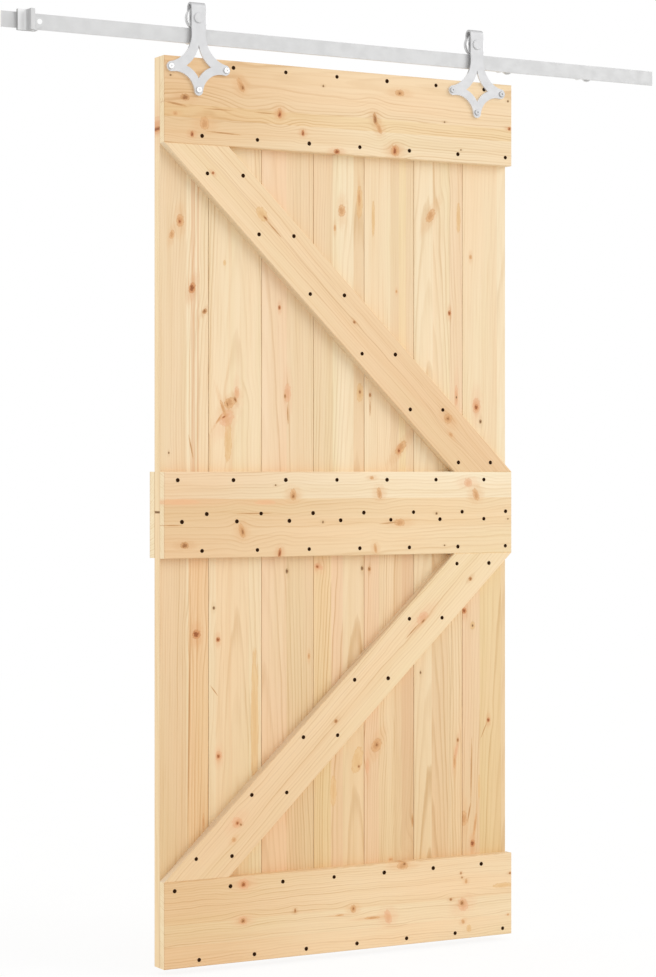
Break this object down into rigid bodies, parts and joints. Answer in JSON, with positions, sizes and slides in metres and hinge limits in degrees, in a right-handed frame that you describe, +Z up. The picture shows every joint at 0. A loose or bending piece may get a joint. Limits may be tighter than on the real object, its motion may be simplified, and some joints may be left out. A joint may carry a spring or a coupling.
{
  "type": "sliding door on a flat rail",
  "caption": "Ledged and braced plank door that slides on two grooved wheels, hung by star shaped hangers from a flat steel rail in front of a wall.",
  "frame": {"origin": "centre of the wall end of the second rail spacer from the left, in the wall plane, at the height of the rail's middle", "axes": "+X to the right along the rail as seen from the front, +Y into the wall, +Z up"},
  "size_m": [1.78, 0.11, 2.2286],
  "materials": {
    "planed_pine": "planed pine, clear and slightly satin, with knots",
    "galvanised_steel": "light grey zinc coated steel, matt",
    "zinc_plated_fixings": "bright zinc plated bolts, screws and nuts",
    "zinc_plated_wheel": "turned steel wheel, zinc plated",
    "grey_rubber": "grey moulded rubber buffer"
  },
  "bodies": {
    "track": {"rail": "galvanised_steel", "rail_bolts": "zinc_plated_fixings", "end_stop": "galvanised_steel", "end_stop_buffer": "grey_rubber", "rail_spacer_1": "galvanised_steel", "rail_spacer_2": "galvanised_steel", "rail_spacer_3": "galvanised_steel", "rail_spacer_4": "galvanised_steel"},
    "leaf": {"header_board": "planed_pine", "middle_board": "planed_pine", "footer_board": "planed_pine", "upper_brace": "planed_pine", "lower_brace": "planed_pine", "back_ledge": "planed_pine", "upper_plank_1": "planed_pine", "upper_plank_2": "planed_pine", "upper_plank_3": "planed_pine", "upper_plank_4": "planed_pine", "upper_plank_5": "planed_pine", "upper_plank_6": "planed_pine", "upper_plank_7": "planed_pine", "lower_plank_1": "planed_pine", "lower_plank_2": "planed_pine", "lower_plank_3": "planed_pine", "lower_plank_4": "planed_pine", "lower_plank_5": "planed_pine", "lower_plank_6": "planed_pine", "lower_plank_7": "planed_pine", "left_hanger": "galvanised_steel", "left_hanger_screws": "zinc_plated_fixings", "left_axle_bolt": "zinc_plated_fixings", "left_axle_nut": "zinc_plated_fixings", "right_hanger": "galvanised_steel", "right_hanger_screws": "zinc_plated_fixings", "right_axle_bolt": "zinc_plated_fixings", "right_axle_nut": "zinc_plated_fixings"},
    "wheel_left": {"left_wheel": "zinc_plated_wheel"},
    "wheel_right": {"right_wheel": "zinc_plated_wheel"}
  },
  "joints": [
    {"name": "door_slide", "type": "slide", "parent": "track", "child": "leaf", "axis": [1, 0, 0], "range_m": [-0.355, 0.48]},
    {"name": "left_wheel_spin", "type": "hinge", "parent": "leaf", "child": "wheel_left", "pos_m": [-0.014, -0.076, 0.0413], "axis": [0, 1, 0], "range_deg": [-900, 1200]},
    {"name": "right_wheel_spin", "type": "hinge", "parent": "leaf", "child": "wheel_right", "pos_m": [0.746, -0.076, 0.0413], "axis": [0, 1, 0], "range_deg": [-900, 1200]}
  ],
  "couplings": [
    {"joint": "left_wheel_spin", "follows": "door_slide", "rad_per_m": 43.478},
    {"joint": "right_wheel_spin", "follows": "door_slide", "rad_per_m": 43.478}
  ]
}
